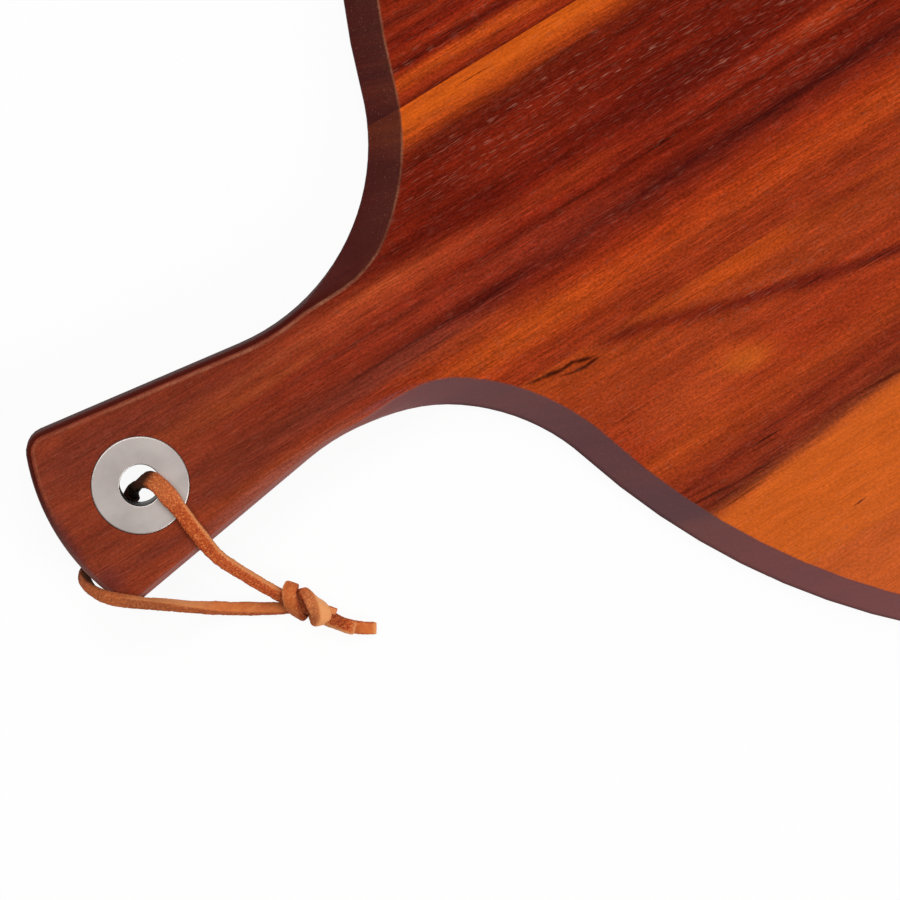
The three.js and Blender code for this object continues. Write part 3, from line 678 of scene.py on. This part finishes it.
BACK_ROUTE = [
    (-209.95, -0.1, 9.85), (-210.35, -0.35, 8.2), (-210.85, -0.7, 6.4), (-211.45, -1.1, 4.55),
    (-212.4, -1.7, 3.05), (-214, -2.6, 2.1), (-216.2, -3.85, 1.75), (-218.6, -5.1, 1.68),
    (-221.8, -6.8, 1.68), (-225.4, -8.7, 1.68), (-228.6, -10.3, 1.68), (-230.6, -11.3, 2),
    (-232.05, -12.05, 3.1), (-232.8, -12.7, 5.1), (-232.95, -13.3, 7.4), (-232.8, -14.15, 10.2),
    (-232.35, -15.2, 13.1), (-231.45, -16.5, 15.6), (-230.2, -18.05, 17.1), (-228.4, -19.85, 17.55),
    (-226, -21.9, 17.5), (-223.8, -23.8, 16.65), (-221.5, -25.85, 14.55), (-218.7, -28.25, 11.6),
    (-215.6, -31.1, 8.6), (-212.5, -33.7, 5.8), (-209.6, -35.95, 3.55), (-206.85, -38, 2.2),
    (-204.4, -39.6, 1.75), (-201.8, -41.25, 1.68), (-199.3, -42.75, 1.68), (-197.7, -43.7, 1.75),
    (-196.2, -44.4, 1.9), (-194.2, -45.4, 2.4),
]


def smooth_path(points):
    """Points a strand's step apart on a smooth curve through the given points."""
    knots = [Vector(p) for p in points]
    ends = [2 * knots[0] - knots[1], *knots, 2 * knots[-1] - knots[-2]]
    dense = []
    for a, b, c, d in zip(ends, ends[1:], ends[2:], ends[3:]):
        for i in range(CURVE_STEPS):
            t = i / CURVE_STEPS
            pull = (-a + 3 * b - 3 * c + d) * t + (2 * a - 5 * b + 4 * c - d)
            dense.append(0.5 * ((pull * t + (c - a)) * t + 2 * b))
    dense.append(knots[-1])
    reach = [0.0]
    for a, b in zip(dense, dense[1:]):
        reach.append(reach[-1] + (b - a).length)
    count = max(2, round(reach[-1] / STRAND_STEP))
    spaced, at = [], 0
    for i in range(count + 1):
        want = reach[-1] * i / count
        while at < len(reach) - 2 and reach[at + 1] < want:
            at += 1
        share = (want - reach[at]) / (reach[at + 1] - reach[at])
        spaced.append(dense[at].lerp(dense[at + 1], share))
    return spaced


def strip_frames(path, faces):
    """Points of the path with the strip's direction and where its face looks, read from stops."""
    stops = [(share, Vector(face)) for share, face in faces]
    frames = []
    for i, point in enumerate(path):
        along = (path[min(i + 1, len(path) - 1)] - path[max(i - 1, 0)]).normalized()
        face = value_at(stops, i / (len(path) - 1))
        frames.append((point, along, (face - along * face.dot(along)).normalized()))
    return frames


def all_along(value):
    """Stops that keep one value from end to end."""
    return ((0, value), (1, value))


FULL_THICKNESS = all_along(LACE_THICKNESS)
EVEN = all_along((0, 0, 0, 0))
ALL_ROUGH = all_along((1, 1, 1, 1))
SMOOTH_FACE = all_along((0.1, 1, 1, 1))
FACE_UP = all_along((0, 0, 1))


def sweep_strip(bm, frames, seed, widths, thicknesses, bare=ALL_ROUGH, pale=EVEN, shade=EVEN):
    """Draws the strip's rounded section along the frames and closes its two ends.

    Widths and thicknesses are stops along the strip, and so are bare, pale and shade, which say how rough
    each side is, how strong its painted highlight and faded leather, and how strong its painted shade: the
    face, the left side, the flesh side, the right."""
    layers = bm.verts.layers.float
    looks = [
        (layers.get(name) or layers.new(name), [(share, Vector(sides)) for share, sides in stops])
        for name, stops in (("nap", bare), ("fade_and_highlight", pale), ("painted_shade", shade))
    ]
    nap = looks[0][0]
    wander_waves, wander = WIDTH_WANDER
    fine_waves, fine_height = FINE_TUFT
    ring = bmesh.ops.create_circle(bm, cap_ends=False, radius=1, segments=SECTION_POINTS)["verts"]
    edges = list(dict.fromkeys(edge for vert in ring for edge in vert.link_edges))
    turns = [math.atan2(vert.co.y, vert.co.x) for vert in ring]
    start = edges
    for i, (point, along, face) in enumerate(frames):
        if i:
            grown = bmesh.ops.extrude_edge_only(bm, edges=edges)["geom"]
            fresh = {part for part in grown if isinstance(part, bmesh.types.BMVert)}
            edges = [
                part for part in grown
                if isinstance(part, bmesh.types.BMEdge) and set(part.verts) <= fresh
            ]
            across = [[edge.other_vert(vert) for edge in vert.link_edges] for vert in ring]
            ring = [next(other for other in found if other in fresh) for found in across]
        share = i / (len(frames) - 1)
        side = along.cross(face)
        swell = wander * noise.noise(point * wander_waves + Vector((seed, 0, 0)))
        wide = value_at(widths, share) / 2 * (1 + swell)
        thick = value_at(thicknesses, share) / 2
        here = [(layer, value_at(stops, share)) for layer, stops in looks]
        for vert, turn in zip(ring, turns):
            x, y = math.cos(turn), math.sin(turn)
            flat = y ** SECTION_POWER / (x ** SECTION_POWER + y ** SECTION_POWER)
            broad, cut = (0 if y > 0 else 2), (1 if x < 0 else 3)
            for layer, sides in here:
                vert[layer] = flat * sides[broad] + (1 - flat) * sides[cut]
            rough = vert[nap]
            body = side * math.copysign(abs(x) ** (2 / SECTION_POWER), x) * wide
            body += face * math.copysign(abs(y) ** (2 / SECTION_POWER), y) * thick
            spot = point + body + Vector((0, 0, seed * SEED_STEP))
            tuft = sum(noise.noise(spot * waves) * height for waves, height in TUFTS)
            tuft *= SMOOTH_NAP + ROUGH_NAP * rough
            tuft += noise.noise(spot * fine_waves) * fine_height * rough
            place = point + body + body.normalized() * tuft
            vert.co = Vector((place.x, place.y, max(place.z, TABLE_CLEARANCE))) * MM
    bmesh.ops.edgeloop_fill(bm, edges=start)
    bmesh.ops.edgeloop_fill(bm, edges=edges)
    bmesh.ops.recalc_face_normals(bm, faces=bm.faces)


# Cowhide dyed in the drum and oiled. The face is smooth and a little waxy, the cut sides show
# matted fibres that scatter light, paler at their tips and darker between them.
leather, tree = new_material("oiled_cowhide_lace")
place = add(tree, "TexCoord").outputs["Object"]
place = add(tree, "VectorMath", {0: place, "Scale": 1 / MM}, operation="SCALE").outputs[0]
rough, faded_and_lit, lace_shade = (
    add(tree, "Attribute", attribute_name=name).outputs["Fac"] for name in ("nap", "fade_and_highlight", "painted_shade")
)
mottle = add(tree, "TexNoise", {
    "Vector": place, "Scale": 1 / 1.6, "Detail": 3, "Roughness": 0.6,
}).outputs["Fac"]
fibre = add(tree, "TexNoise", {
    "Vector": place, "Scale": 1 / 0.5, "Detail": 2, "Roughness": 0.7,
}).outputs["Fac"]
smooth = add(tree, "ValToRGB", {"Fac": mottle}, stops=(
    (0.3, "#ca672f"), (0.5, "#d77537"), (0.7, "#e28648"),
)).outputs[0]
suede = add(tree, "ValToRGB", {"Fac": fibre}, stops=(
    (0.36, "#92391a"), (0.47, "#b84c20"), (0.56, "#c95b26"), (0.68, "#df8a50"),
)).outputs[0]
tone = add(tree, "Mix", {0: rough, 6: smooth, 7: suede}, data_type="RGBA").outputs[2]
# Painted highlight, partly faded leather: the pale colour on lit upper edges and faces, the knot's edges and
# the cut ends
tone = add(tree, "Mix", {0: faded_and_lit, 6: tone, 7: linear("#fab070")}, data_type="RGBA").outputs[2]
# Painted shade, darkest inside the eyelet's bore, in the knot and on the strands' lower sides
tone = add(tree, "Mix", {0: lace_shade, 6: tone, 7: linear("#1c0b06")}, data_type="RGBA").outputs[2]
gloss = add(tree, "MapRange", {"Value": rough, "To Min": 0.55, "To Max": 0.95})
relief = add(tree, "Bump", {"Height": fibre, "Strength": 0.5, "Distance": 0.1 * MM})
shader = add(tree, "BsdfPrincipled", {
    "Base Color": tone, "Roughness": gloss.outputs[0], "Normal": relief.outputs[0],
    "Specular IOR Level": 0.2, "Sheen Weight": 0.1, "Sheen Roughness": 0.5,
    "Sheen Tint": linear("#e8b48a"),
})
add(tree, "OutputMaterial", {"Surface": shader.outputs[0]})

# Shade is painted shade, full inside the eyelet and lighter on lower sides, at the corner and near the knot;
# pale is mostly a painted highlight on upper edges and faces
STRAND_LOOKS = {
    "lace_front_strand": dict(
        seed=1,
        widths=(
            (0, 4.6), (0.1, 4.5), (0.22, 4.5), (0.3, 3.9), (0.5, 3.7), (0.57, 3.25), (1, LACE_WIDTH),
        ),
        thicknesses=FULL_THICKNESS,
        pale=(
            (0, (0, 0, 0, 0)), (0.18, (0.15, 0.1, 0, 0)), (0.35, (0, 0.5, 0, 0)), (0.9, (0, 0.5, 0, 0)),
            (1, (0, 0.2, 0, 0)),
        ),
        shade=(
            (0, (1, 1, 1, 1)), (0.1, (0.9, 0.9, 0.9, 0.9)), (0.15, (0, 0, 0.5, 0.1)),
            (0.9, (0, 0, 0.5, 0.15)), (1, (0.4, 0.4, 0.5, 0.5)),
        ),
    ),
    "lace_back_strand": dict(
        seed=2,
        widths=((0, 4.6), (0.06, 4.4), (0.14, LACE_WIDTH), (1, LACE_WIDTH)),
        thicknesses=(
            (0, LACE_THICKNESS), (0.4, 2.2), (0.5, 2.8), (0.6, 2.5), (0.72, LACE_THICKNESS),
            (1, LACE_THICKNESS),
        ),
        bare=((0, (1, 1, 1, 1)), (0.55, (1, 1, 1, 1)), (0.7, (0.1, 1, 1, 1)), (1, (0.1, 1, 1, 1))),
        pale=(
            (0, (0, 0, 0, 0)), (0.4, (0.1, 0.1, 0.1, 0.1)), (0.5, (0.15, 0.1, 0.1, 0.15)),
            (0.58, (0.5, 0.1, 0, 0.15)), (0.7, (0.45, 0, 0, 0.1)), (0.8, (0.1, 0, 0, 0.1)),
            (1, (0, 0, 0, 0)),
        ),
        shade=(
            (0, (1, 1, 1, 1)), (0.3, (0.8, 0.8, 0.8, 0.8)), (0.38, (0.8, 0.4, 0.2, 0.3)),
            (0.44, (0.3, 0.1, 0.2, 0.2)), (0.5, (0, 0, 0.2, 0.25)), (0.56, (0, 0, 0.2, 0.45)),
            (0.7, (0, 0, 0.2, 0.35)), (0.85, (0, 0, 0.2, 0.25)), (0.95, (0.15, 0.1, 0.2, 0.3)),
            (1, (0.4, 0.4, 0.4, 0.4)),
        ),
    ),
}
strands = {}
for name, route, faces in (
    ("lace_front_strand", FRONT_ROUTE, (
        (0, (0, 1, 0.2)), (0.12, (-0.1, 0.8, 0.6)), (0.24, (-0.2, 0, 1)), (0.5, (-0.3, 0, 1)),
        (1, (-0.4, -0.1, 0.95)),
    )),
    ("lace_back_strand", BACK_ROUTE, (
        (0, (0, 1, 0.2)), (0.1, (0, 0.4, 1)), (0.28, (0, 0, 1)), (0.4, (0.85, 0.5, 0.1)),
        (0.55, (0.5, 0.85, 0.3)), (0.68, (0.35, 0.75, 0.6)), (0.82, (0.25, 0.5, 0.85)),
        (1, (0.2, 0.3, 0.95)),
    )),
):
    path = smooth_path(route)
    bm = bmesh.new()
    sweep_strip(bm, strip_frames(path, faces), **STRAND_LOOKS[name])
    strand = finish_piece(bm, name + "_leather", leather)
    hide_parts(name)
    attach(strand, "root")
    strands[name] = (strand, path)

# The knot, tied in both strands. Its first turn lies flat and slants across, with the cut edge to
# the left. The second stands on its edge: its rough side faces the first turn over a dark gap.
KNOT_CENTRE = Vector((-191.3, -46.6, 3.85))
KNOT_HEADING = math.radians(-57.7)
KNOT_TURNS = range(-80, 611, 5)
KNOT_LEAD = ((-80, -4.8), (45, -5.7), (225, 0), (330, -1.9), (480, 4.0), (610, 3.0))
KNOT_REACH = ((-80, 2.0), (20, 2.8), (90, 2.5), (190, 2.9), (270, 2.1), (340, 1.6), (610, 1.4))
KNOT_ROLL = ((-80, 10), (230, 5), (330, -40), (480, -45), (610, -40))
CORE_ROUTE = ((-6.4, 0, 0), (-4, 0, 0), (-1, 0, 0), (2, 0, 0), (4.2, 0, 0))
UNDER_ROUTE = ((2.4, 0.9, 1.3), (4.8, 1.3, 0.5), (6.7, 1.5, -0.5))

knot_frame = Matrix.Translation(KNOT_CENTRE) @ Matrix.Rotation(KNOT_HEADING, 4, "Z")
turns, rays = [], []
for turn in KNOT_TURNS:
    angle = math.radians(turn)
    ray = Vector((0, math.cos(angle), math.sin(angle)))
    hub = Vector((value_at(KNOT_LEAD, turn), 0, 0))
    turns.append(knot_frame @ (hub + ray * value_at(KNOT_REACH, turn)))
    rays.append(knot_frame.to_3x3() @ ray)
frames = []
for i, (point, ray) in enumerate(zip(turns, rays)):
    along = (turns[min(i + 1, len(turns) - 1)] - turns[max(i - 1, 0)]).normalized()
    roll = math.radians(value_at(KNOT_ROLL, KNOT_TURNS[i]))
    face = (ray - along * ray.dot(along)).normalized()
    frames.append((point, along, face * math.cos(roll) + along.cross(face) * math.sin(roll)))
# The knot's shade is painted shade on its inner sides and in its gap, where the core is painted dark all
# along
bm = bmesh.new()
sweep_strip(
    bm, frames, seed=3,
    widths=((0, 2.8), (0.15, 3.4), (0.42, 3.4), (0.55, 3.6), (0.68, 4.7), (0.85, 4.2), (1, 3.8)),
    thicknesses=((0, 1.9), (0.46, 1.9), (0.6, 3.2), (0.75, 4.0), (1, 3.8)),
    bare=((0, (0.5, 1, 1, 1)), (0.42, (0.5, 1, 1, 1)), (0.6, (0.12, 1, 1, 1)), (1, (0.12, 1, 1, 1))),
    pale=(
        (0, (0, 0, 0, 0.6)), (0.4, (0, 0, 0, 0.5)), (0.55, (0, 0, 0, 0)), (0.7, (0.8, 0, 0, 0.25)),
        (0.85, (0.55, 0, 0, 0.2)), (1, (0, 0, 0, 0)),
    ),
    shade=(
        (0, (0, 0, 0, 0)), (0.18, (0, 0.3, 0.3, 0)), (0.4, (0.25, 0.5, 0.3, 0.1)),
        (0.55, (0, 0.2, 0.3, 0)), (1, (0.05, 0, 0.3, 0.1)),
    ),
)
core, under = ([knot_frame @ Vector(spot) for spot in route] for route in (CORE_ROUTE, UNDER_ROUTE))
sweep_strip(
    bm, strip_frames(smooth_path(core), FACE_UP), seed=4,
    widths=((0, 3.4), (0.3, 4.4), (1, 3.6)), thicknesses=((0, 3.6), (1, 3.8)),
    shade=all_along((0.6, 0.6, 0.6, 0.6)),
)
sweep_strip(
    bm, strip_frames(smooth_path(under), FACE_UP), seed=7,
    widths=((0, 2.2), (1, 1.9)), thicknesses=((0, 1.8), (1, 1.5)),
    bare=SMOOTH_FACE, pale=all_along((0.3, 0, 0, 0.3)),
)
knot = finish_piece(bm, "lace_knot_leather", leather)
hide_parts("lace_knot")
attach(knot, "root")

# The lace's two tails, cut square a little beyond the knot. The front one shows its rough side,
# and both narrow a little at the cut.
TAIL_WIDTHS = ((0, LACE_WIDTH), (0.95, LACE_WIDTH), (1, 0.88 * LACE_WIDTH))
TAIL_THICKNESSES = ((0, LACE_THICKNESS), (0.95, LACE_THICKNESS), (1, 0.85 * LACE_THICKNESS))
# The front tail has painted shade at its root under the knot, and both tails are paler at the cut
TAIL_LOOKS = {
    "lace_tail_front": dict(
        seed=5,
        pale=((0, (0, 0, 0, 0.5)), (0.85, (0, 0, 0, 0.6)), (1, (0.5, 0.5, 0.5, 0.6))),
        shade=(
            (0, (0.45, 0.45, 0.4, 0.3)), (0.6, (0.3, 0.4, 0.4, 0.1)), (0.88, (0, 0, 0, 0)),
            (1, (0, 0, 0, 0)),
        ),
    ),
    "lace_tail_back": dict(
        seed=6,
        bare=SMOOTH_FACE,
        pale=((0, (0, 0, 0, 0)), (0.9, (0, 0, 0, 0)), (1, (0.5, 0.5, 0.5, 0.5))),
    ),
}
tails = []
for name, route, faces in (
    ("lace_tail_front", (
        (-190, -50, 4.6), (-188.75, -52.2, 4.5), (-187.7, -53.6, 4.4), (-186.4, -55.2, 4.3),
        (-184.5, -57.4, 4.15),
    ), ((0, (0.35, 0.3, 0.9)), (1, (0.2, 0.2, 0.95)))),
    ("lace_tail_back", (
        (-189, -50.6, 1.5), (-188.2, -52.4, 1.4), (-186.6, -54.9, 1.25), (-184.8, -57, 1.2),
        (-182.6, -58.8, 1.2), (-180.1, -60.4, 1.2),
    ), FACE_UP),
):
    bm = bmesh.new()
    sweep_strip(
        bm, strip_frames(smooth_path(route), faces),
        widths=TAIL_WIDTHS, thicknesses=TAIL_THICKNESSES, **TAIL_LOOKS[name],
    )
    tail = finish_piece(bm, name + "_leather", leather)
    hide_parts(name)
    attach(tail, "root")
    tails.append(tail)

for name, end_pieces in (("lace_front_strand", [knot, *tails]), ("lace_back_strand", [])):
    strand, path = strands[name]
